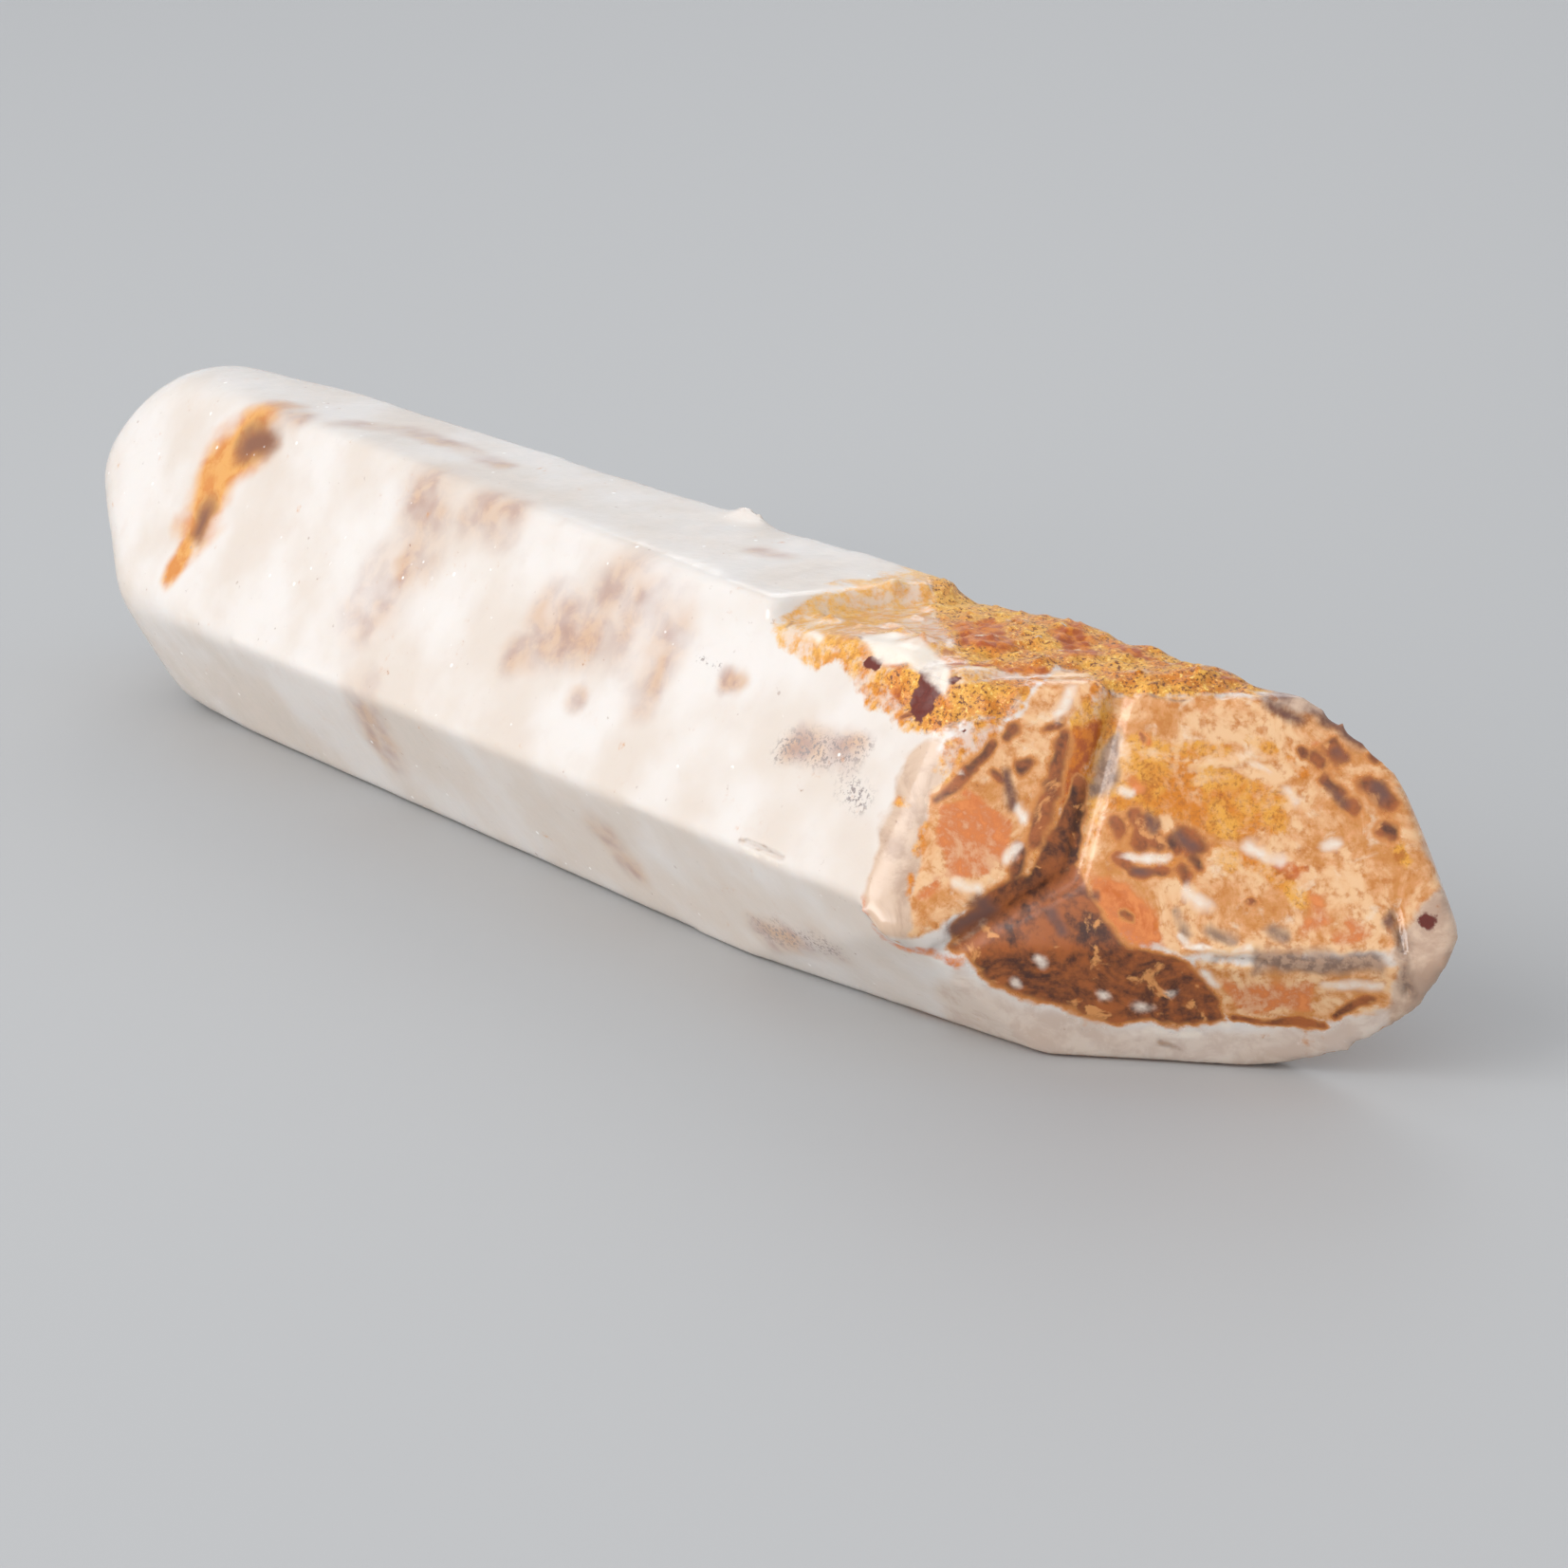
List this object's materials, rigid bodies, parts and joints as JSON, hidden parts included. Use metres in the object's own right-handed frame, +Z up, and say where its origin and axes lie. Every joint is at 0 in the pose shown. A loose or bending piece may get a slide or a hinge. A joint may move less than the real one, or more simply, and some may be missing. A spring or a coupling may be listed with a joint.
{
  "type": "double terminated quartz crystal",
  "caption": "Milky quartz crystal pointed at each end, with flat prism faces and an iron-stained tip, lying on one of its faces",
  "frame": {"origin": "on the surface that the crystal rests on, under the middle of its bounding box", "axes": "+X along the crystal towards its iron-stained termination, -Y towards the side the picture shows, +Z up"},
  "size_m": [0.0731, 0.0155, 0.0143],
  "materials": {
    "quartz": "milky, waxy to glassy, slightly see-through; ochre and brown iron stains over the sharper end"
  },
  "bodies": {
    "root": {"quartz_crystal": "quartz"}
  },
  "joints": []
}
